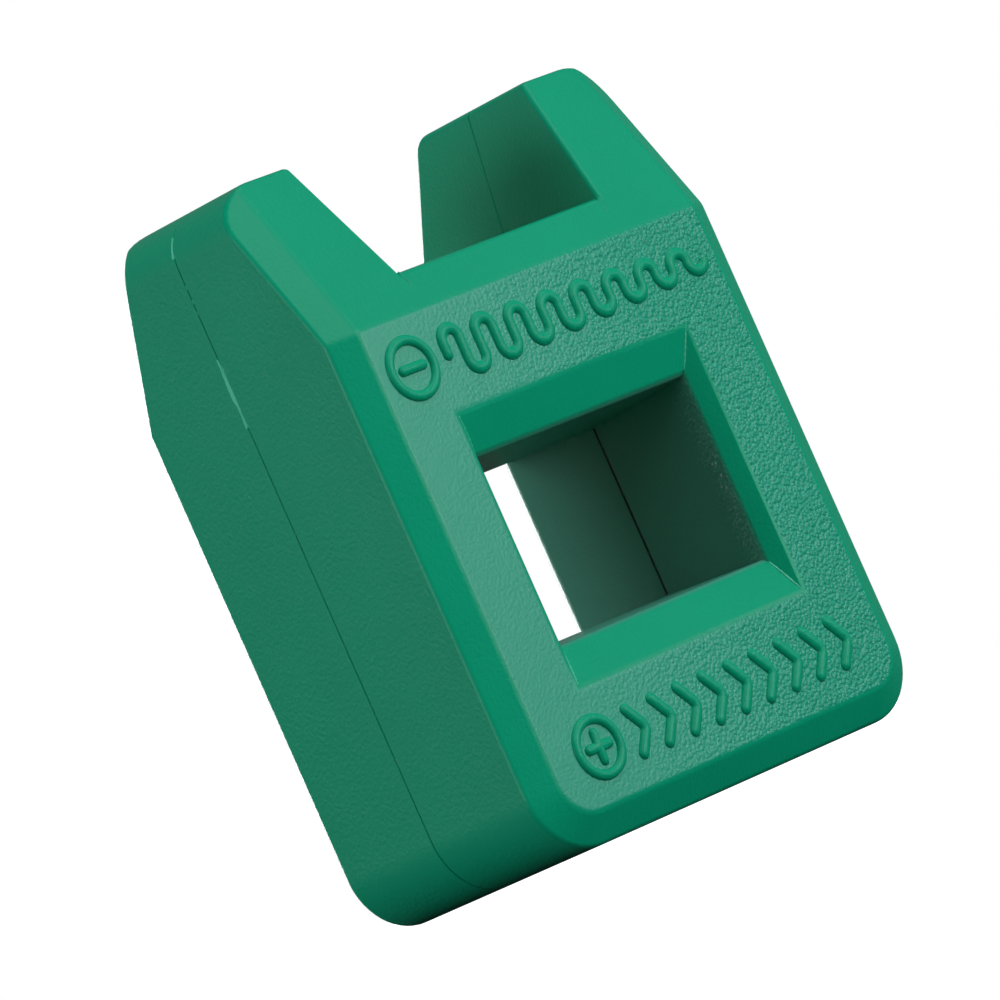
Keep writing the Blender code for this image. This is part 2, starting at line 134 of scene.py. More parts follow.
# Raised marks: round lines (radius, depth sunk) on the front face
RING_LINE = (0.42 * MM, 0.10 * MM)
SIGN_LINE = (0.52 * MM, 0.20 * MM)
RING_RADIUS = 2.04 * MM
RING_STEPS = 64
RING_BAR_HALF_LENGTH = 1.0 * MM
UPPER_MARK_Z = 35.5 * MM
UPPER_RING_X = -14.2 * MM
LOWER_MARK_Z = 6.3 * MM
LOWER_RING_X = -12.6 * MM
WAVE_START_X = -10.6 * MM
WAVE_END_X = 16.2 * MM
WAVE_HALF_HEIGHT = 1.75 * MM
WAVE_ARCHES = 16
ARCH_STEPS = 14
CHEVRON_START_X = -8.9 * MM
CHEVRON_PITCH = 2.7 * MM
CHEVRON_COUNT = 9
CHEVRON_HALF_HEIGHT = 1.65 * MM
CHEVRON_REACH = 1.25 * MM
CHEVRON_TIP_RADIUS = 0.6 * MM
TIP_STEPS = 12
END_STEPS = 5
END_LAST_ANGLE = math.radians(88)
LINE_ROUNDNESS = 4

# Moulding flaws: flash in stretches of the seam, and a pale strip beside the seam whose width wanders; the
# strip's pale is partly the thin flash's own colour and partly a painted highlight
FLASH_RADIUS = 0.10 * MM
FLASH_HALF_WIDTH = 0.26 * MM
FLASH_LEAST_SHARE = 0.3
FLASH_SWAY = 1.5 * MM
FLASH_SHIFT = 0.08 * MM
FLASH_SPANS = (
    (36.6 * MM, 41.8 * MM),
    (45.2 * MM, 45.5 * MM),
    (46.0 * MM, 46.4 * MM),
    (47.1 * MM, 47.5 * MM),
)
PALE_SPANS = ((36.6 * MM, 41.8 * MM), (49.5 * MM, 50.9 * MM))

# Moulding flaws: witness lines on the front slope, and rough mitres in the corners of the front funnel
WITNESS_RADIUS = 0.26 * MM
WITNESS_SINK = 0.76
WITNESS_LENGTH = 1.5 * MM
WITNESS_DRIFT = 0.25 * MM
MITRE_RADIUS = 0.13 * MM
MITRE_INSET = 0.08

# Threads of plastic: the width wanders by these waves in radians per step, and ends thin
BEAD_STEPS = 16
BEAD_RAGGED = 0.25
BEAD_WAVES = (2.1, 0.777)
BEAD_END = 0.04

# Green plastic: colours in linear light
GREEN_DEEP = (0.0005, 0.285, 0.152)
GREEN_LIGHT = (0.0010, 0.315, 0.172)
# Painted sheen: the grained flat faces get a paler, greyer green
GRAIN_SHEEN_TINT = (0.007, 0.300, 0.188)
# Painted sheen: the passage walls get a greyer green, standing in for the reflection of the bright
# surroundings
PASSAGE_SHEEN_TINT = (0.055, 0.290, 0.205)
# Painted shade: a dark band along the seam inside the window's passage, standing in for the shade in the gap
# between the shells
SEAM_PAINTED_SHADE = (0.002, 0.030, 0.022)
SEAM_PAINTED_SHADE_HALF_WIDTH = 0.11 * MM
# The flash colour is partly the thin plastic's own paler colour and partly a painted highlight
FLASH_PALE_AND_HIGHLIGHT = (0.08, 0.58, 0.38)
FLASH_ROUGHNESS = 0.35
CLOUD_PITCH = 9 * MM

# Green plastic: relief, each with the width of one bump and its height
WAVINESS_PITCH = 4 * MM
WAVINESS_DEPTH = 0.04 * MM
SATIN_PITCH = 0.24 * MM
SATIN_DEPTH = 0.02 * MM
FINE_PITCH = 0.28 * MM
FINE_DEPTH = 0.05 * MM
COARSE_PITCH = 0.29 * MM
COARSE_DEPTH = 0.055 * MM
PEBBLE_SHARE = 2.2
SOFT_DETAIL = 1.0
GRAIN_NOISE = (SOFT_DETAIL, 0.4)

# Green plastic: where the grain lies and how strong it is there. A facing is how far the surface turns to an
# axis: the values for no grain and full grain, or the middle, half width and fade of a band. The grain in
# the mouth starts and ends over these depths. The coarse grain grows along X: start, end, share at each.
GRAIN_EDGE = 0.02 * MM
FLAT_FACING = (0.97, 0.999)
SIDE_WALL_FACING = (0.3, 0.5)
NOTCH_FACING = (0.93, 0.98)
SIDE_FACING = (0.015, 0.05)
BAND_FACING = (0.48, 0.08, 0.08)
SLOPE_FACING = (0.02, 0.03)
SIDE_GRAIN_SHARE = 0.7
HORN_BAND_SHARE = 0.4
SLOPE_SHARE = 0.4
MOUTH_GRAIN_SHARE = 0.6
MOUTH_GRAIN_START = (1.1 * MM, 1.5 * MM)
MOUTH_GRAIN_END = (2.0 * MM, 4.2 * MM)
GRAIN_SPREAD = (-18 * MM, 16 * MM, 0.08, 1.0)
SATIN_ROUGHNESS = 0.32
GRAIN_ROUGHNESS = 0.38
SATIN_SPECULAR = 0.12
GRAIN_SPECULAR = 0.35

# Most of a noise's values lie in this span
NOISE_SPAN = (0.3, 0.7)

# Ferrite
FERRITE_DARK = (0.012, 0.012, 0.013)
FERRITE_SPECK = (0.07, 0.07, 0.072)
FERRITE_SPECK_SPAN = (0.45, 0.75)
FERRITE_PITCH = 0.12 * MM
FERRITE_DEPTH = 0.01 * MM
FERRITE_NOISE = (4.0, 0.7)
FERRITE_ROUGHNESS = (0.5, 0.75)
FERRITE_METALLIC = 0.35

# Zinc-coated steel, brushed along X
ZINC_DARK = (0.52, 0.53, 0.54)
ZINC_LIGHT = (0.68, 0.69, 0.68)
SPANGLE_PITCH = 2.5 * MM
SCRATCH_PITCH = 0.1 * MM
SCRATCH_DEPTH = 0.004 * MM
SCRATCH_NOISE = (3.0, 0.7)
SCRATCH_STRETCH = (0.08, 1.0, 1.0)
ZINC_ROUGHNESS = (0.28, 0.48)

# Foam
# The colour at the bottom of each cell's pit is painted shade
FOAM_PIT_SHADE = (0.55, 0.54, 0.5)
FOAM_WHITE = (0.85, 0.84, 0.8)
FOAM_CELL_PITCH = 0.25 * MM
FOAM_CELL_DEPTH = 0.05 * MM
FOAM_ROUGHNESS = 0.95

# Floor: its colour to the eye, the light it throws back, and its glow, which is full at a grazing view
FLOOR_HALF_SIZE = 0.8
FLOOR_DROP = 0.01 * MM
FLOOR_COLOUR = (0.85, 0.85, 0.85)
FLOOR_BOUNCE = (0.09, 0.09, 0.09)
FLOOR_ROUGHNESS = 0.9
FLOOR_GLOW = 0.35
GRAZING = (0.90, 0.99)
WHITE = (1.0, 1.0, 1.0, 1.0)

# Light: a soft box is (name, azimuth, elevation, distance, size, power in watts)
AMBIENT = 0.14
SOFT_BOXES = (
    ("overhead", 42, 66, 0.60, 0.40, 0.80),
    ("front_high", -15, 44, 0.60, 0.40, 0.90),
    ("front", 20, 14, 0.60, 0.40, 1.60),
    ("front_level", 16, 0, 0.60, 0.40, 1.25),
    ("front_right", 43, 5, 0.60, 0.40, 0.50),
    ("left", -99, 0, 0.60, 0.36, 2.80),
    ("behind", 168, 0, 0.60, 0.36, 4.00),
)

# Camera; AIM is the point that the camera and the soft boxes face
AIM = Vector((-0.435, 0.41, 25.32)) * MM
CAMERA_AZIMUTH = -43.33
CAMERA_ELEVATION = -2.015
CAMERA_ROLL = -23.9
CAMERA_DISTANCE = 670 * MM
SENSOR_WIDTH = 36.0
LENS = 338.9
CLIP_RATIO = 20


# ---------------------------------------------------------------- mesh helpers

def add_object(name, data):
    """New object in the scene that shows a mesh, curve, light or camera."""
    obj = bpy.data.objects.new(name, data)
    bpy.context.scene.collection.objects.link(obj)
    return obj


@contextmanager
def editing(mesh):
    """Gives the mesh for editing and writes it back afterwards."""
    work = bmesh.new()
    work.from_mesh(mesh)
    yield work
    work.to_mesh(mesh)
    work.free()


def add_solid(name, work):
    """New object with the shape that was built in work."""
    mesh = bpy.data.meshes.new(name)
    work.to_mesh(mesh)
    work.free()
    return add_object(name, mesh)


def final_mesh(obj):
    """Mesh of the object as its curve or modifiers make it."""
    bpy.context.view_layer.update()
    graph = bpy.context.evaluated_depsgraph_get()
    return bpy.data.meshes.new_from_object(obj.evaluated_get(graph))


def remove(obj):
    bpy.data.objects.remove(obj, do_unlink=True)


def bake(obj):
    """Replace the object's mesh by its final mesh and drop the modifiers."""
    mesh = final_mesh(obj)
    old = obj.data
    obj.modifiers.clear()
    obj.data = mesh
    bpy.data.meshes.remove(old)


def combine(obj, other, operation):
    """Boolean of obj with other, which is used up."""
    modifier = obj.modifiers.new(operation.lower(), "BOOLEAN")
    modifier.operation = operation
    modifier.solver = "EXACT"
    modifier.object = other
    bake(obj)
    remove(other)


def copy_of(obj):
    return add_object(obj.name + "_copy", obj.data.copy())


def weld(mesh):
    """Merge points that lie together and turn all faces outwards."""
    with editing(mesh) as work:
        bmesh.ops.remove_doubles(work, verts=work.verts, dist=MERGE)
        bmesh.ops.recalc_face_normals(work, faces=work.faces)


def tidy_faces(obj):
    """Merge stray points and join faces that lie in one plane, so that the rounding runs on clean faces."""
    with editing(obj.data) as work:
        bmesh.ops.remove_doubles(work, verts=work.verts, dist=MERGE)
        bmesh.ops.dissolve_degenerate(work, dist=MERGE, edges=work.edges)
        bmesh.ops.dissolve_limit(work, angle_limit=PLANE_ANGLE, verts=work.verts, edges=work.edges)


def round_edges(obj, offset, choose):
    """Round each edge by the share of offset that choose(middle, turn) gives; a concave turn is negative."""
    with editing(obj.data) as work:
        layer = work.edges.layers.float.new("bevel_weight_edge")
        for edge in work.edges:
            if len(edge.link_faces) == 2:
                middle = (edge.verts[0].co + edge.verts[1].co) / 2
                edge[layer] = choose(middle, edge.calc_face_angle_signed(0.0))
    bevel = obj.modifiers.new("rounding", "BEVEL")
    bevel.limit_method = "WEIGHT"
    bevel.width = offset
    bevel.segments = ROUND_SEGMENTS
    bevel.use_clamp_overlap = False
    bake(obj)
    attribute = obj.data.attributes.get("bevel_weight_edge")
    if attribute:
        obj.data.attributes.remove(attribute)


def arc(centre, radius, start, end, steps=CORNER_STEPS):
    """Points on an arc round centre, angles in degrees."""
    angles = [math.radians(start + (end - start) * index / steps) for index in range(steps + 1)]
    return [(centre[0] + radius * math.cos(a), centre[1] + radius * math.sin(a)) for a in angles]


# These turn a shape that is extruded along Z into one that is extruded along Y or along X
ALONG_Y = Matrix(((1, 0, 0, 0), (0, 0, -1, 0), (0, 1, 0, 0), (0, 0, 0, 1)))
ALONG_X = Matrix(((0, 0, 1, 0), (1, 0, 0, 0), (0, 1, 0, 0), (0, 0, 0, 1)))


def prism(name, points, half_length, chamfer=(0.0, 0.0), axes=ALONG_Y):
    """Closed outline extruded both ways; chamfer (inset, depth) runs round the outline at both ends."""
    inset, depth = chamfer
    stretch = depth / inset if inset else 1.0
    curve = bpy.data.curves.new(name, "CURVE")
    curve.dimensions = "2D"
    curve.fill_mode = "BOTH"
    curve.extrude = half_length / stretch - inset
    curve.bevel_depth = inset
    curve.bevel_resolution = 0
    curve.offset = -inset
    spline = curve.splines.new("POLY")
    spline.points.add(len(points) - 1)
    for point, (u, v) in zip(spline.points, points):
        point.co = (u, v, 0.0, 1.0)
    spline.use_cyclic_u = True
    guide = add_object(name + "_outline", curve)
    mesh = final_mesh(guide)
    remove(guide)
    mesh.transform(axes @ Matrix.Diagonal((1, 1, stretch, 1)))
    weld(mesh)
    return add_object(name, mesh)


def loft(name, sections, centre_z):
    """Closed solid through rectangles (y, half width, half height) of unlike size."""
    signs = ((-1, -1), (1, -1), (1, 1), (-1, 1))
    work = bmesh.new()
    rings = []
    for y, half_width, half_height in sections:
        places = [(i * half_width, y, centre_z + j * half_height) for i, j in signs]
        rings.append([work.verts.new(place) for place in places])
    work.faces.new(rings[0])
    work.faces.new(reversed(rings[-1]))
    for ring, following in zip(rings, rings[1:]):
        for i in range(len(signs)):
            j = (i + 1) % len(signs)
            work.faces.new((ring[i], following[i], following[j], ring[j]))
    bmesh.ops.recalc_face_normals(work, faces=work.faces)
    return add_solid(name, work)


def box(low, high):
    """Block between two opposite corners."""
    work = bmesh.new()
    bmesh.ops.create_cube(work, size=1.0)
    low = Vector(low)
    high = Vector(high)
    for vert in work.verts:
        vert.co = (low + high) / 2 + vert.co * (high - low)
    return add_solid("box", work)


def rod(radius, low_y, high_y, place):
    """Cylinder along Y at place (x, z)."""
    work = bmesh.new()
    bmesh.ops.create_cone(
        work, cap_ends=True, segments=ROD_STEPS, radius1=radius, radius2=radius, depth=high_y - low_y
    )
    centre = Matrix.Translation((place[0], (low_y + high_y) / 2, place[1]))
    bmesh.ops.transform(work, matrix=centre @ ALONG_Y, verts=work.verts)
    return add_solid("rod", work)


# ---------------------------------------------------------------- outer form

def lean_in(obj, shoulder):
    """Bend the front and rear faces inwards above the shoulder, keeping the flanks flat."""
    with editing(obj.data) as work:
        whole = work.verts[:] + work.edges[:] + work.faces[:]
        bmesh.ops.bisect_plane(work, geom=whole, dist=MERGE, plane_co=(0, 0, shoulder), plane_no=(0, 0, 1))
        for vert in work.verts:
            rise = max(vert.co.z - shoulder, 0.0)
            vert.co.y += rise * (FRONT_SLOPE_RUN if vert.co.y < 0 else -REAR_SLOPE_RUN)


def top_corner(radius):
    """Quarter circle (x, z) about the origin for a top corner; one point lies on the band's inner edge."""
    meet = math.degrees(math.acos(max(radius - BAND_INSET, 0.0) / radius))
    steps_below, steps_above = TOP_CORNER_STEPS
    below = arc((0, 0), radius, 0, meet, steps_below)
    above = arc((0, 0), radius, meet, 90, steps_above)
    return below + above[1:]


def top_profile(inset):
    """YZ outline that cuts the case flat at the top, with a round rear ridge.

    The ridge's points are as high as the points of the top corners, so that the two roundings meet point
    by point; its radius follows from the lowest of them.
    """
    height = HEIGHT - inset
    clear = 2 * HALF_DEPTH
    points = [(-clear, -OVERSHOOT), (clear, -OVERSHOOT)]
    if inset:
        return points + [(clear, height), (-clear, height)]
    drops = [TOP_CORNER_RADIUS - z for _, z in top_corner(TOP_CORNER_RADIUS)[RIDGE_START:]]
    slope_angle = math.atan(REAR_SLOPE_RUN)
    radius = drops[0] / (1 - math.sin(slope_angle))
    centre_y = REAR_TOP_REACH - radius * math.tan((math.pi / 2 - slope_angle) / 2)
    ridge = []
    for drop in drops:
        reach = math.sqrt(max(radius ** 2 - (radius - drop) ** 2, 0.0))
        ridge.append((centre_y + reach, height - drop))
    start_y, start_z = ridge[0]
    foot = (clear, start_z - (clear - start_y) / REAR_SLOPE_RUN)
    return points + [foot] + ridge + [(-clear, height)]


def body_outline(inset):
    """XZ outline of the case with its round lower corners, running on past the top."""
    wide = HALF_WIDTH - inset
    top = HEIGHT + OVERSHOOT
    radius = BOTTOM_CORNER_RADIUS - inset
    points = arc((-wide + radius, inset + radius), radius, 180, 270)
    points += arc((wide - radius, inset + radius), radius, 270, 360)
    return points + [(wide, top), (-wide, top)]


def top_corners_outline(inset):
    """XZ outline that rounds the two top corners of the case and clears it everywhere else."""
    wide = HALF_WIDTH - inset
    high = HEIGHT - inset
    top = HEIGHT + OVERSHOOT
    clear = HALF_WIDTH + OVERSHOOT
    radius = TOP_CORNER_RADIUS - inset
    corner = [(wide - radius + x, high - radius + z) for x, z in top_corner(radius)]
    points = [(-clear, -OVERSHOOT), (clear, -OVERSHOOT), (clear, high - radius)]
    points += corner + [(wide - radius, top), (-wide + radius, top)]
    points += [(-x, z) for x, z in reversed(corner)]
    return points + [(-clear, high - radius)]


def case_form(name, inset=0.0):
    """Closed case without openings; with an inset, the plainer space one wall thickness further in."""
    form = prism(name, body_outline(inset), HALF_DEPTH - inset, (BAND_INSET, BAND_DEPTH))
    lean_in(form, SHOULDER_HEIGHT - inset * math.tan(SLOPE_ANGLE / 2))
    combine(form, prism("top_profile", top_profile(inset), HALF_WIDTH * 2, axes=ALONG_X), "INTERSECT")
    combine(form, prism("top_corners", top_corners_outline(inset), HALF_DEPTH * 2), "INTERSECT")
    return form


def window_solid(grow=0.0):
    """The space of the window; with grow it is the sleeve of wall round that space."""
    throat = HALF_DEPTH - FUNNEL_DEPTH
    slant = (FUNNEL_DEPTH + OVERSHOOT) / FUNNEL_DEPTH
    wide_x = PASSAGE_HALF_WIDTH + slant * (WINDOW_HALF_WIDTH - PASSAGE_HALF_WIDTH) + grow
    wide_z = PASSAGE_HALF_HEIGHT + slant * (WINDOW_HALF_HEIGHT - PASSAGE_HALF_HEIGHT) + grow
    passage = (PASSAGE_HALF_WIDTH + grow, PASSAGE_HALF_HEIGHT + grow)
    waist = (PASSAGE_HALF_WIDTH + grow, PASSAGE_WAIST_HALF_HEIGHT + grow)
    end = HALF_DEPTH + OVERSHOOT
    sections = [(-end, wide_x, wide_z), (-throat, *passage), (PARTING_Y, *waist)]
    sections += [(throat, *passage), (end, wide_x, wide_z)]
    return loft("window", sections, WINDOW_Z)


def notch_solid(grow=0.0):
    """The space of the notch; with grow it is the sleeve of wall round that space."""
    floor = NOTCH_FLOOR_Z - grow
    top = HEIGHT + OVERSHOOT
    low = NOTCH_FLOOR_HALF_WIDTH + grow / math.cos(NOTCH_LEAN) - grow * math.tan(NOTCH_LEAN)
    high = low + (top - floor) * math.tan(NOTCH_LEAN)
    outline = [(-low, floor), (low, floor), (high, top), (-high, top)]
    return prism("notch", outline, HALF_DEPTH * 2)


def crease_share(middle, turn):
    """Share of CREASE_ROUND for an edge: in the window's mouth, in the notch or elsewhere."""
    if turn < CREASE_ANGLE:
        return 0.0
    past_side = abs(middle.x) - WINDOW_HALF_WIDTH
    past_top = abs(middle.z - WINDOW_Z) - WINDOW_HALF_HEIGHT
    if max(past_side, past_top) < MERGE:
        return MOUTH_SHARE
    in_notch = abs(middle.x) < NOTCH_TOP_HALF_WIDTH + MERGE and middle.z > NOTCH_FLOOR_Z - MERGE
    return 1.0 if in_notch else OUTER_SHARE


def solid_case():
    """The case as one solid with its openings and rounded edges, before it is parted and hollowed."""
    form = case_form("case_form")
    combine(form, window_solid(), "DIFFERENCE")
    combine(form, notch_solid(), "DIFFERENCE")
    tidy_faces(form)
    round_edges(form, CREASE_ROUND, crease_share)
    return form


# ---------------------------------------------------------------- raised marks

def rounded_ends(points, radius):
    """The line made longer at both ends by a half ball: points, and their share of the full radius."""
    ends = []
    for here, before in ((points[0], points[1]), (points[-1], points[-2])):
        away = (Vector(here) - Vector(before)).normalized()
        angles = [math.radians(90 * index / END_STEPS) for index in range(1, END_STEPS)]
        angles.append(END_LAST_ANGLE)
        ends.append([(tuple(Vector(here) + away * radius * math.sin(a)), math.cos(a)) for a in angles])
    whole = ends[0][::-1] + [(point, 1.0) for point in points] + ends[1]
    return [point for point, _ in whole], [width for _, width in whole]


def round_line(name, points, widths, radius, closed=False):
    """Mesh of a round line through (x, y, z) points; widths are shares of radius."""
    curve = bpy.data.curves.new(name, "CURVE")
    curve.dimensions = "3D"
    curve.bevel_depth = radius
    curve.bevel_resolution = LINE_ROUNDNESS
    curve.use_fill_caps = True
    spline = curve.splines.new("POLY")
    spline.points.add(len(points) - 1)
    for point, place, width in zip(spline.points, points, widths):
        point.co = (*place, 1.0)
        point.radius = width
    spline.use_cyclic_u = closed
    guide = add_object(name + "_line", curve)
    mesh = final_mesh(guide)
    remove(guide)
    weld(mesh)
    return add_object(name, mesh)


def mark_line(name, points, line, closed=False):
    """Raised line with a round back along (x, z) points; line is (radius, depth it is sunk)."""
    radius, sink = line
    widths = [1.0] * len(points)
    if not closed:
        points, widths = rounded_ends(points, radius)
    return round_line(name, [(x, FRONT_Y + sink, z) for x, z in points], widths, radius, closed)


def wave_points():
    """A row of arches, up and down in turn, whose height dies away: a sign for demagnetising."""
    radius = (WAVE_END_X - WAVE_START_X) / WAVE_ARCHES / 2
    points = [(WAVE_START_X, UPPER_MARK_Z)]
    for index in range(WAVE_ARCHES):
        side = 1 if index % 2 == 0 else -1
        leg = (WAVE_HALF_HEIGHT - radius) * (1 - index / (WAVE_ARCHES - 1))
        centre = (WAVE_START_X + (2 * index + 1) * radius, UPPER_MARK_Z + side * leg)
        points += arc(centre, radius, side * 180, 0, ARCH_STEPS)
    points.append((WAVE_END_X, UPPER_MARK_Z))
    return points


def chevron_points(index):
    """A bracket pointing to +X with a rounded tip."""
    x = CHEVRON_START_X + CHEVRON_PITCH * index
    lean = math.atan(CHEVRON_REACH / CHEVRON_HALF_HEIGHT)
    turn = math.degrees(lean)
    centre = (x + CHEVRON_REACH - CHEVRON_TIP_RADIUS / math.cos(lean), LOWER_MARK_Z)
    upper_end = (x, LOWER_MARK_Z + CHEVRON_HALF_HEIGHT)
    lower_end = (x, LOWER_MARK_Z - CHEVRON_HALF_HEIGHT)
    return [upper_end] + arc(centre, CHEVRON_TIP_RADIUS, turn, -turn, TIP_STEPS) + [lower_end]


def front_marks():
    """Minus ring and dying wave above the window, plus ring and like-pointing chevrons below it."""
    reach = RING_BAR_HALF_LENGTH
    marks = [mark_line("dying_wave", wave_points(), SIGN_LINE)]
    for x, z in ((UPPER_RING_X, UPPER_MARK_Z), (LOWER_RING_X, LOWER_MARK_Z)):
        ring = arc((x, z), RING_RADIUS, 0, 360, RING_STEPS)[:-1]
        marks.append(mark_line("ring", ring, RING_LINE, closed=True))
        marks.append(mark_line("bar", [(x - reach, z), (x + reach, z)], RING_LINE))
    x, z = LOWER_RING_X, LOWER_MARK_Z
    marks.append(mark_line("post", [(x, z - reach), (x, z + reach)], RING_LINE))
    for index in range(CHEVRON_COUNT):
        marks.append(mark_line("chevron", chevron_points(index), SIGN_LINE))
    return marks


# ---------------------------------------------------------------- shells

def add_rib(shell, side_x, side_y, span_x, span_z):
    """Rib from the face wall towards the parting plane; span_x is measured outwards on one side."""
    wall_y = side_y * (HALF_DEPTH - WALL + RIB_BITE)
    tip_y = PARTING_Y + side_y * (HALF_DEPTH - WALL - RIB_REACH_Y)
    xs = sorted(side_x * x for x in span_x)
    ys = sorted((wall_y, tip_y))
    zs = sorted(span_z)
    combine(shell, box((xs[0], ys[0], zs[0]), (xs[1], ys[1], zs[1])), "UNION")


def add_inside(shell, side_y, near):
    """Ribs round the magnets, shelves in the horns, and the bosses of the pins."""
    magnet_low, magnet_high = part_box("window_magnet_right")
    sleeve_x = PASSAGE_HALF_WIDTH + SLEEVE_WALL
    magnet_span = (sleeve_x - RIB_BITE, magnet_high.x)
    shelf_span = (sleeve_x, HALF_WIDTH - WALL + RIB_BITE)
    below = magnet_low.z - FIT_GAP
    above = magnet_high.z + FIT_GAP
    for side_x in (-1, 1):
        add_rib(shell, side_x, side_y, magnet_span, (below, below - RIB_THICKNESS))
        add_rib(shell, side_x, side_y, magnet_span, (above, above + RIB_THICKNESS))
        add_rib(shell, side_x, side_y, shelf_span, (SHELF_Z, SHELF_Z - RIB_THICKNESS))
    ys = sorted((side_y * (HALF_DEPTH - WALL + RIB_BITE), near))
    for place in BOSS_PLACES:
        combine(shell, rod(BOSS_RADIUS, *ys, place), "UNION")


def part_share(near):
    """Choice of the outer edges on the plane y = near, for round_edges."""
    return lambda middle, turn: float(abs(middle.y - near) < MERGE and turn > CREASE_ANGLE)


def shell_half(name, side_y, form, hollow):
    """One moulded half of the case: -1 is the marked front, 1 is the rear."""
    near = PARTING_Y + side_y * SEAM_GAP / 2
    ys = sorted((near, side_y * HALF_DEPTH * 2))
    shell = copy_of(form)
    shell.name = name
    combine(shell, box((-HEIGHT, ys[0], -HEIGHT), (HEIGHT, ys[1], 2 * HEIGHT)), "INTERSECT")
    round_edges(shell, SEAM_ROUND, part_share(near))
    combine(shell, copy_of(hollow), "DIFFERENCE")
    add_inside(shell, side_y, near)
    return shell


def smooth_shading(obj):
    """Flat faces stay flat and the roundings between them are smooth."""
    obj.data.shade_smooth()
    obj.data.set_sharp_from_angle(angle=SHARP_ANGLE)
    weigh = obj.modifiers.new("weighted_normals", "WEIGHTED_NORMAL")
    weigh.mode = "FACE_AREA"
    weigh.weight = NORMAL_WEIGHT
    weigh.keep_sharp = True


def build_shells():
    """Both halves of the case, with pins on the front half and sockets for them in the rear half."""
    form = solid_case()
    hollow = case_form("hollow", WALL)
    combine(hollow, window_solid(SLEEVE_WALL), "DIFFERENCE")
    combine(hollow, notch_solid(SLEEVE_WALL), "DIFFERENCE")
    front = shell_half("front_shell_moulded", -1, form, hollow)
    rear = shell_half("rear_shell_moulded", 1, form, hollow)
    remove(form)
    remove(hollow)
    in_front_y = PARTING_Y - SEAM_GAP
    for place in BOSS_PLACES:
        combine(front, rod(PIN_RADIUS, in_front_y - PIN_LENGTH, PARTING_Y + PIN_LENGTH, place), "UNION")
        combine(rear, rod(SOCKET_RADIUS, in_front_y, PARTING_Y + SOCKET_DEPTH, place), "DIFFERENCE")
    for mark in front_marks():
        combine(front, mark, "UNION")
    for shell, node in ((front, "front_shell"), (rear, "rear_shell")):
        weld(shell.data)
        smooth_shading(shell)
        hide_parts(node)
        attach(shell, "root")
    return front, rear


# ---------------------------------------------------------------- small moulding flaws

def bead(start, end, radius, steps=BEAD_STEPS, ragged=BEAD_RAGGED):
    """Thin thread of plastic from start to end; its width wanders by ragged and dies away at both ends."""
    fast, slow = BEAD_WAVES
    points = []
    widths = []
    for index in range(steps + 1):
        share = index / steps
        points.append(tuple(Vector(start).lerp(Vector(end), share)))
        wander = math.sin(fast * index) * math.cos(slow * index)
        swell = math.sqrt(math.sin(math.pi * (BEAD_END + (1 - 2 * BEAD_END) * share)))
        widths.append((1 - ragged + ragged * wander) * swell)
    return round_line("bead", points, widths, radius)


def seam_beads():
    """Flash in short stretches of the seam, flush with the left flank."""
    x = -HALF_WIDTH + FLASH_RADIUS
    return [bead((x, PARTING_Y, low), (x, PARTING_Y, high), FLASH_RADIUS) for low, high in FLASH_SPANS]


def witness_beads():
    """Faint line where two mould inserts met, from each lower corner of the notch down the front slope."""
    beads = []
    for side in (-1, 1):
        start_x = side * NOTCH_FLOOR_HALF_WIDTH
        end_x = start_x - side * WITNESS_DRIFT
        ends = []
        for x, z in ((start_x, NOTCH_FLOOR_Z), (end_x, NOTCH_FLOOR_Z - WITNESS_LENGTH)):
            y = FRONT_Y + (z - SHOULDER_HEIGHT) * FRONT_SLOPE_RUN
            ends.append((x, y + WITNESS_RADIUS * WITNESS_SINK, z))
        beads.append(bead(*ends, WITNESS_RADIUS, ragged=0.0))
    return beads


def mitre_beads():
    """Rough line along each corner of the front funnel of the window."""
    beads = []
    for side_x in (-1, 1):
        for side_z in (-1, 1):
            mouth_z = WINDOW_Z + side_z * WINDOW_HALF_HEIGHT
            throat_z = WINDOW_Z + side_z * PASSAGE_HALF_HEIGHT
            mouth = Vector((side_x * WINDOW_HALF_WIDTH, FRONT_Y, mouth_z))
            throat = Vector((side_x * PASSAGE_HALF_WIDTH, FRONT_Y + FUNNEL_DEPTH, throat_z))
            start = mouth.lerp(throat, MITRE_INSET)
            end = mouth.lerp(throat, 1 - MITRE_INSET)
            beads.append(bead(start, end, MITRE_RADIUS, 2 * BEAD_STEPS))
    return beads


def join_beads(name, beads):
    """All the given threads as one piece on the case."""
    whole = bmesh.new()
    for thread in beads:
        whole.from_mesh(thread.data)
        remove(thread)
    piece = add_solid(name, whole)
    piece.data.shade_smooth()
    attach(piece, "root")
    return piece


# ---------------------------------------------------------------- material helpers

def add_node(tree, kind, **settings):
    """New shader node, given by the end of its type's name."""
    made = tree.nodes.new("ShaderNode" + kind)
    for key, value in settings.items():
        setattr(made, key, value)
    return made


def feed(tree, socket, value):
    """Link an output to the socket, or set it to a plain value."""
    if isinstance(value, bpy.types.NodeSocket):
        tree.links.new(value, socket)
    else:
        socket.default_value = value


def calc(tree, operation, *values):
    """Result of a Math node."""
    made = add_node(tree, "Math", operation=operation)
    for socket, value in zip(made.inputs, values):
        feed(tree, socket, value)
    return made.outputs[0]


def product(tree, *values):
    """All the values multiplied together."""
    return reduce(lambda so_far, value: calc(tree, "MULTIPLY", so_far, value), values)


def largest(tree, *values):
    """The largest of the values."""
    return reduce(lambda so_far, value: calc(tree, "MAXIMUM", so_far, value), values)


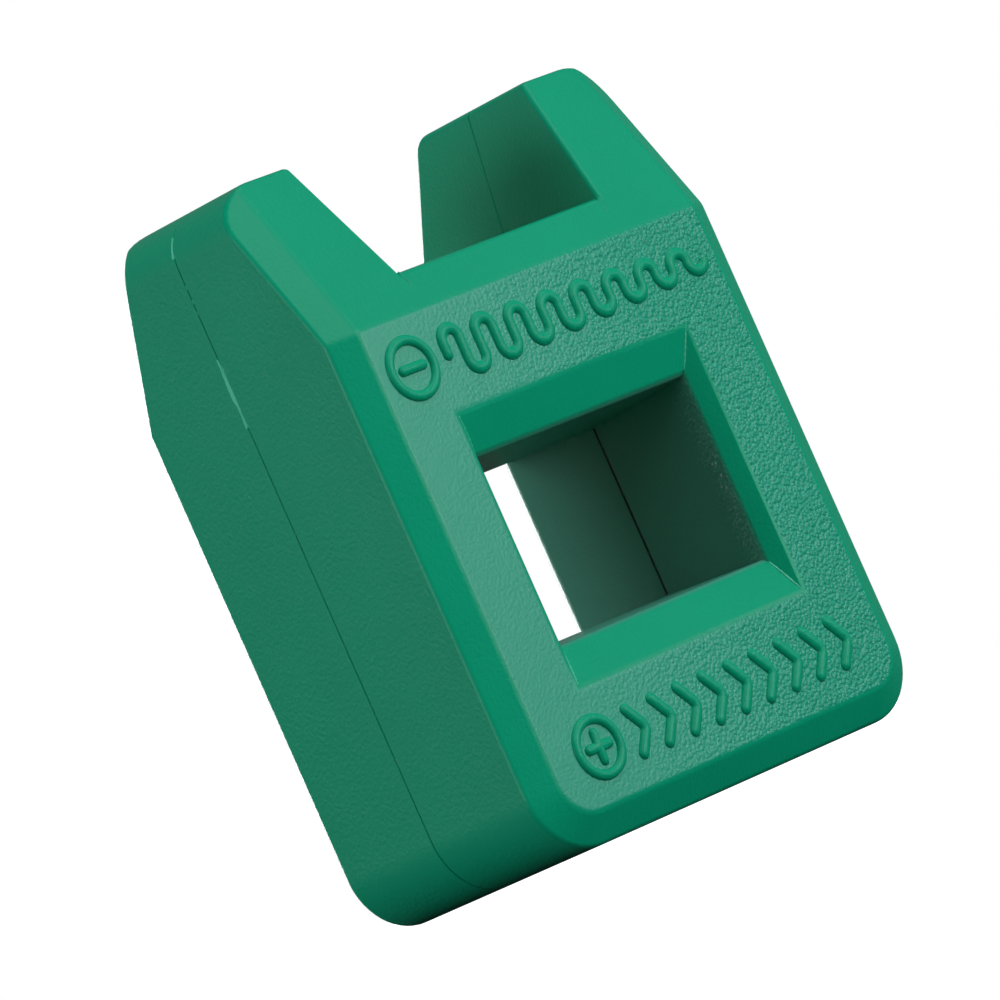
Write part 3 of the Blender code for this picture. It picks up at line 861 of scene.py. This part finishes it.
def step(tree, value, start, end, low=0.0, high=1.0):
    """Goes smoothly from low to high while value goes from start to end."""
    made = add_node(tree, "MapRange", interpolation_type="SMOOTHSTEP")
    labels = ("Value", "From Min", "From Max", "To Min", "To Max")
    for label, given in zip(labels, (value, start, end, low, high)):
        feed(tree, made.inputs[label], given)
    return made.outputs["Result"]


def band(tree, value, middle, half, fade):
    """One where value is within half of middle, fading to zero over fade."""
    away = calc(tree, "ABSOLUTE", calc(tree, "SUBTRACT", value, middle))
    return step(tree, away, half, half + fade, 1.0, 0.0)


def blend_colour(tree, share, low, high):
    """From low to high; in a colour Mix node those are inputs 6 and 7, and the result is output 2."""
    made = add_node(tree, "Mix", data_type="RGBA")
    feed(tree, made.inputs["Factor"], share)
    for socket, value in ((made.inputs[6], low), (made.inputs[7], high)):
        feed(tree, socket, value if isinstance(value, bpy.types.NodeSocket) else (*value, 1.0))
    return made.outputs[2]


def split(tree, vector):
    """The three components of a vector."""
    made = add_node(tree, "SeparateXYZ")
    feed(tree, made.inputs[0], vector)
    return made.outputs


def noise(tree, place, pitch, detail=2.0, roughness=0.5):
    """Noise between 0 and 1 whose bumps are about pitch wide."""
    made = add_node(tree, "TexNoise")
    feed(tree, made.inputs["Vector"], place)
    made.inputs["Scale"].default_value = 1 / pitch
    made.inputs["Detail"].default_value = detail
    made.inputs["Roughness"].default_value = roughness
    return made.outputs["Fac"]


def cell_distance(tree, place, pitch):
    """Distance from the middle of the nearest of many cells that are about pitch wide, in cell widths."""
    made = add_node(tree, "TexVoronoi", feature="F1")
    feed(tree, made.inputs["Vector"], place)
    made.inputs["Scale"].default_value = 1 / pitch
    return made.outputs["Distance"]


def bump(tree, height, depth, share=1.0, under=None):
    """Normal of a relief of the given depth, applied by share on top of the normal under it."""
    made = add_node(tree, "Bump")
    feed(tree, made.inputs["Height"], height)
    feed(tree, made.inputs["Strength"], share)
    made.inputs["Distance"].default_value = depth
    if under:
        feed(tree, made.inputs["Normal"], under)
    return made.outputs["Normal"]


def own_place(tree):
    """Place in the object's own coordinates."""
    return add_node(tree, "TexCoord").outputs["Object"]


def start_material(name):
    """New material and its node tree."""
    material = bpy.data.materials.new(name)
    material.use_nodes = True
    return material, material.node_tree


def set_surface(tree, looks):
    """Feed the surface's inputs, which are given by their names."""
    surface = tree.nodes["Principled BSDF"]
    for label, value in looks.items():
        feed(tree, surface.inputs[label], value)


# ---------------------------------------------------------------- materials

def plastic_areas(tree, place):
    """How much of each finish lies at a place, from 0 to 1, by name.

    flat is the two flat faces, passage the window behind its funnel, coarse the pebbly grain and fine the
    finer one; grained is all that isn't satin.
    """
    x, y, z = split(tree, place)
    nx, ny, nz = split(tree, add_node(tree, "TexCoord").outputs["Normal"])
    to_side = calc(tree, "ABSOLUTE", nx)
    to_front = calc(tree, "ABSOLUTE", ny)
    depth = calc(tree, "SUBTRACT", HALF_DEPTH, calc(tree, "ABSOLUTE", y))
    above_shoulder = step(tree, z, SHOULDER_HEIGHT, SHOULDER_HEIGHT + GRAIN_EDGE)

    on_face = band(tree, depth, 0.0, GRAIN_EDGE, GRAIN_EDGE * 2)
    flat = product(tree, on_face, step(tree, to_front, *FLAT_FACING))

    window_band = band(tree, z, WINDOW_Z, WINDOW_HALF_HEIGHT, GRAIN_EDGE)
    in_window = product(tree, window_band, band(tree, x, 0.0, WINDOW_HALF_WIDTH, GRAIN_EDGE))
    passage = product(tree, in_window, step(tree, depth, *MOUTH_GRAIN_START))
    side_wall = step(tree, to_side, *SIDE_WALL_FACING)
    near_mouth = step(tree, depth, *MOUTH_GRAIN_END, 1.0, 0.0)
    in_front = calc(tree, "LESS_THAN", y, 0.0)
    mouth = product(tree, passage, near_mouth, in_front, side_wall, MOUTH_GRAIN_SHARE)
    coarse = largest(tree, product(tree, flat, step(tree, x, *GRAIN_SPREAD)), mouth)

    above_floor = step(tree, z, NOTCH_FLOOR_Z - GRAIN_EDGE, NOTCH_FLOOR_Z)
    in_notch = product(tree, above_floor, band(tree, x, 0.0, NOTCH_TOP_HALF_WIDTH, GRAIN_EDGE))
    notch = product(tree, in_notch, step(tree, largest(tree, to_side, nz), *NOTCH_FACING))

    to_flank = step(tree, to_front, *SIDE_FACING, 1.0, 0.0)
    sides = product(tree, to_flank, calc(tree, "SUBTRACT", 1.0, in_window))
    horn_band = product(tree, band(tree, to_side, *BAND_FACING), above_shoulder, HORN_BAND_SHARE)
    to_slope = band(tree, to_front, math.cos(SLOPE_ANGLE), *SLOPE_FACING)
    slope = product(tree, to_slope, above_shoulder, SLOPE_SHARE)
    dull = largest(tree, sides, horn_band, slope)
    fine = largest(tree, notch, product(tree, dull, SIDE_GRAIN_SHARE))

    grained = largest(tree, flat, product(tree, passage, side_wall), fine, dull)
    return {"flat": flat, "passage": passage, "coarse": coarse, "fine": fine, "grained": grained}


def plastic_relief(tree, place, areas):
    """Waviness, satin, fine grain and coarse pebbles, each laid on the one before."""
    relief = bump(tree, noise(tree, place, WAVINESS_PITCH, SOFT_DETAIL), WAVINESS_DEPTH)
    relief = bump(tree, noise(tree, place, SATIN_PITCH, *GRAIN_NOISE), SATIN_DEPTH, 1.0, relief)
    relief = bump(tree, noise(tree, place, FINE_PITCH, *GRAIN_NOISE), FINE_DEPTH, areas["fine"], relief)
    domes = calc(tree, "SUBTRACT", 1.0, cell_distance(tree, place, COARSE_PITCH))
    pebbles = product(tree, domes, PEBBLE_SHARE)
    pebbles = calc(tree, "ADD", pebbles, noise(tree, place, COARSE_PITCH, *GRAIN_NOISE))
    return bump(tree, pebbles, COARSE_DEPTH, areas["coarse"], relief)


def seam_flash_and_highlight(tree, place):
    """One on the pale stretches beside the seam of the left flank, whose width wanders; the pale there is
    partly a painted highlight.
    """
    x, y, z = split(tree, place)
    sway = noise(tree, place, FLASH_SWAY, SOFT_DETAIL)
    half = step(tree, sway, *NOISE_SPAN, FLASH_LEAST_SHARE * FLASH_HALF_WIDTH, FLASH_HALF_WIDTH)
    away = calc(tree, "ABSOLUTE", calc(tree, "SUBTRACT", y, PARTING_Y + FLASH_SHIFT))
    beside = step(tree, calc(tree, "SUBTRACT", half, away), -GRAIN_EDGE, GRAIN_EDGE)
    stretches = [band(tree, z, (low + high) / 2, (high - low) / 2, GRAIN_EDGE) for low, high in PALE_SPANS]
    on_flank = calc(tree, "LESS_THAN", x, BAND_INSET - HALF_WIDTH)
    return product(tree, beside, largest(tree, *stretches), on_flank)


def plastic_colour(tree, place, areas):
    """Clouded green, a paler tint on the grain and a greyer one in the window as painted sheen, painted
    shade along the seam in the passage, and a pale flash strip beside the seam that is partly painted
    highlight.
    """
    _, y, _ = split(tree, place)
    colour = blend_colour(tree, noise(tree, place, CLOUD_PITCH), GREEN_DEEP, GREEN_LIGHT)
    # Painted sheen on the grained flat faces
    colour = blend_colour(tree, areas["flat"], colour, GRAIN_SHEEN_TINT)
    # Painted sheen on the walls of the passage
    colour = blend_colour(tree, areas["passage"], colour, PASSAGE_SHEEN_TINT)
    # Painted shade along the seam inside the passage
    seam = band(tree, y, PARTING_Y, SEAM_PAINTED_SHADE_HALF_WIDTH, GRAIN_EDGE)
    colour = blend_colour(tree, product(tree, areas["passage"], seam), colour, SEAM_PAINTED_SHADE)
    # Pale flash strip beside the seam: partly the flash's own colour, partly a painted highlight
    return blend_colour(tree, seam_flash_and_highlight(tree, place), colour, FLASH_PALE_AND_HIGHLIGHT)


def green_plastic():
    """Moulded green plastic: grained on the faces and in the openings, fine on the sides, else satin."""
    material, tree = start_material("green_moulded_plastic")
    place = own_place(tree)
    areas = plastic_areas(tree, place)
    grained = areas["grained"]
    set_surface(tree, {
        "Base Color": plastic_colour(tree, place, areas),
        "Roughness": step(tree, grained, 0.0, 1.0, SATIN_ROUGHNESS, GRAIN_ROUGHNESS),
        "Specular IOR Level": step(tree, grained, 0.0, 1.0, SATIN_SPECULAR, GRAIN_SPECULAR),
        "Normal": plastic_relief(tree, place, areas),
    })
    return material


def flash_plastic():
    """The same plastic, stretched thin and so a little paler, and paler still as a painted highlight."""
    material, tree = start_material("thin_flash_plastic")
    ragged = noise(tree, own_place(tree), FINE_PITCH)
    set_surface(tree, {
        "Base Color": blend_colour(tree, ragged, GREEN_LIGHT, FLASH_PALE_AND_HIGHLIGHT),
        "Roughness": FLASH_ROUGHNESS,
        "Normal": bump(tree, ragged, SATIN_DEPTH),
    })
    return material


def ferrite():
    """Pressed ferrite: near black, granular, with a few lighter specks."""
    material, tree = start_material("dark_ferrite_ceramic")
    grains = noise(tree, own_place(tree), FERRITE_PITCH, *FERRITE_NOISE)
    specks = step(tree, grains, *FERRITE_SPECK_SPAN)
    set_surface(tree, {
        "Base Color": blend_colour(tree, specks, FERRITE_DARK, FERRITE_SPECK),
        "Roughness": step(tree, grains, *NOISE_SPAN, *FERRITE_ROUGHNESS),
        "Metallic": FERRITE_METALLIC,
        "Normal": bump(tree, grains, FERRITE_DEPTH),
    })
    return material


def zinc_steel():
    """Stamped steel with a brushed zinc coat."""
    material, tree = start_material("zinc_coated_steel")
    place = own_place(tree)
    stretch = add_node(tree, "Mapping")
    feed(tree, stretch.inputs["Vector"], place)
    stretch.inputs["Scale"].default_value = SCRATCH_STRETCH
    scratches = noise(tree, stretch.outputs["Vector"], SCRATCH_PITCH, *SCRATCH_NOISE)
    spangle = noise(tree, place, SPANGLE_PITCH, SOFT_DETAIL)
    set_surface(tree, {
        "Base Color": blend_colour(tree, spangle, ZINC_DARK, ZINC_LIGHT),
        "Roughness": step(tree, scratches, *NOISE_SPAN, *ZINC_ROUGHNESS),
        "Metallic": 1.0,
        "Normal": bump(tree, scratches, SCRATCH_DEPTH),
    })
    return material


def white_foam():
    """Open-cell foam pad: pale, soft, pitted by its cells, with painted shade darkening each pit."""
    material, tree = start_material("white_open_cell_foam")
    pit = cell_distance(tree, own_place(tree), FOAM_CELL_PITCH)
    set_surface(tree, {
        # Painted shade: darker towards the middle of each pit
        "Base Color": blend_colour(tree, pit, FOAM_PIT_SHADE, FOAM_WHITE),
        "Roughness": FOAM_ROUGHNESS,
        "Normal": bump(tree, pit, FOAM_CELL_DEPTH),
    })
    return material


def paint(obj, material):
    obj.data.materials.clear()
    obj.data.materials.append(material)


def paint_all(moulded, flash):
    """Give the moulded pieces, the flash and the sealed pieces of the CAD their materials."""
    plastic = green_plastic()
    for piece in moulded:
        paint(piece, plastic)
    paint(flash, flash_plastic())
    steel = zinc_steel()
    kinds = {"magnet": ferrite(), "pad": white_foam(), "plate": steel, "yoke": steel}
    for name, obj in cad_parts.items():
        for word, material in kinds.items():
            if word in name:
                paint(obj, material)


# ---------------------------------------------------------------- floor, light and camera

def view_direction(azimuth, elevation):
    """Unit vector from the object towards a viewer; azimuth 0 is straight in front, 90 is on +X."""
    a = math.radians(azimuth)
    e = math.radians(elevation)
    return Vector((math.sin(a) * math.cos(e), -math.cos(a) * math.cos(e), math.sin(e)))


def pale_floor():
    """White to the eye, most of all at a grazing view, while it throws little light back."""
    material, tree = start_material("pale_floor")
    seen = add_node(tree, "LightPath").outputs["Is Camera Ray"]
    facing = add_node(tree, "LayerWeight").outputs["Facing"]
    glow = step(tree, facing, *GRAZING, FLOOR_GLOW, 1.0)
    set_surface(tree, {
        "Base Color": blend_colour(tree, seen, FLOOR_BOUNCE, FLOOR_COLOUR),
        "Roughness": FLOOR_ROUGHNESS,
        "Specular IOR Level": 0.0,
        "Emission Color": WHITE,
        "Emission Strength": product(tree, seen, glow),
    })
    return material


def add_floor():
    work = bmesh.new()
    bmesh.ops.create_grid(work, size=FLOOR_HALF_SIZE)
    bmesh.ops.translate(work, verts=work.verts, vec=(0, 0, -FLOOR_DROP))
    floor = add_solid("floor", work)
    paint(floor, pale_floor())


def face_object(obj, azimuth, elevation, distance, roll=0.0):
    """Put a light or camera at the distance from AIM in that direction, facing AIM; angles in degrees."""
    towards = view_direction(azimuth, elevation)
    turn = Quaternion((0, 0, 1), math.radians(roll))
    obj.location = AIM + towards * distance
    obj.rotation_mode = "QUATERNION"
    obj.rotation_quaternion = (-towards).to_track_quat("-Z", "Y") @ turn


def add_light(name, azimuth, elevation, distance, size, power):
    """Square soft box that faces the middle of the object."""
    data = bpy.data.lights.new(name, "AREA")
    data.size = size
    data.energy = power
    face_object(add_object(name, data), azimuth, elevation, distance)


def add_world():
    """Surroundings that are white to the eye and a dim even light on the object."""
    world = bpy.data.worlds.new("studio")
    world.use_nodes = True
    tree = world.node_tree
    background = tree.nodes["Background"]
    feed(tree, background.inputs["Color"], WHITE)
    seen = add_node(tree, "LightPath").outputs["Is Camera Ray"]
    feed(tree, background.inputs["Strength"], step(tree, seen, 0.0, 1.0, AMBIENT, 1.0))
    bpy.context.scene.world = world


def add_camera():
    data = bpy.data.cameras.new("camera")
    data.sensor_width = SENSOR_WIDTH
    data.lens = LENS
    data.clip_start = CAMERA_DISTANCE / CLIP_RATIO
    data.clip_end = CAMERA_DISTANCE * CLIP_RATIO
    camera = add_object("camera", data)
    face_object(camera, CAMERA_AZIMUTH, CAMERA_ELEVATION, CAMERA_DISTANCE, CAMERA_ROLL)
    bpy.context.scene.camera = camera


witness_lines = join_beads("witness_lines", witness_beads())
moulding_flash = join_beads("moulding_flash", seam_beads() + mitre_beads())
paint_all([*build_shells(), witness_lines], moulding_flash)
add_floor()
for soft_box in SOFT_BOXES:
    add_light(*soft_box)
add_world()
add_camera()
bpy.context.scene.view_settings.view_transform = "Standard"
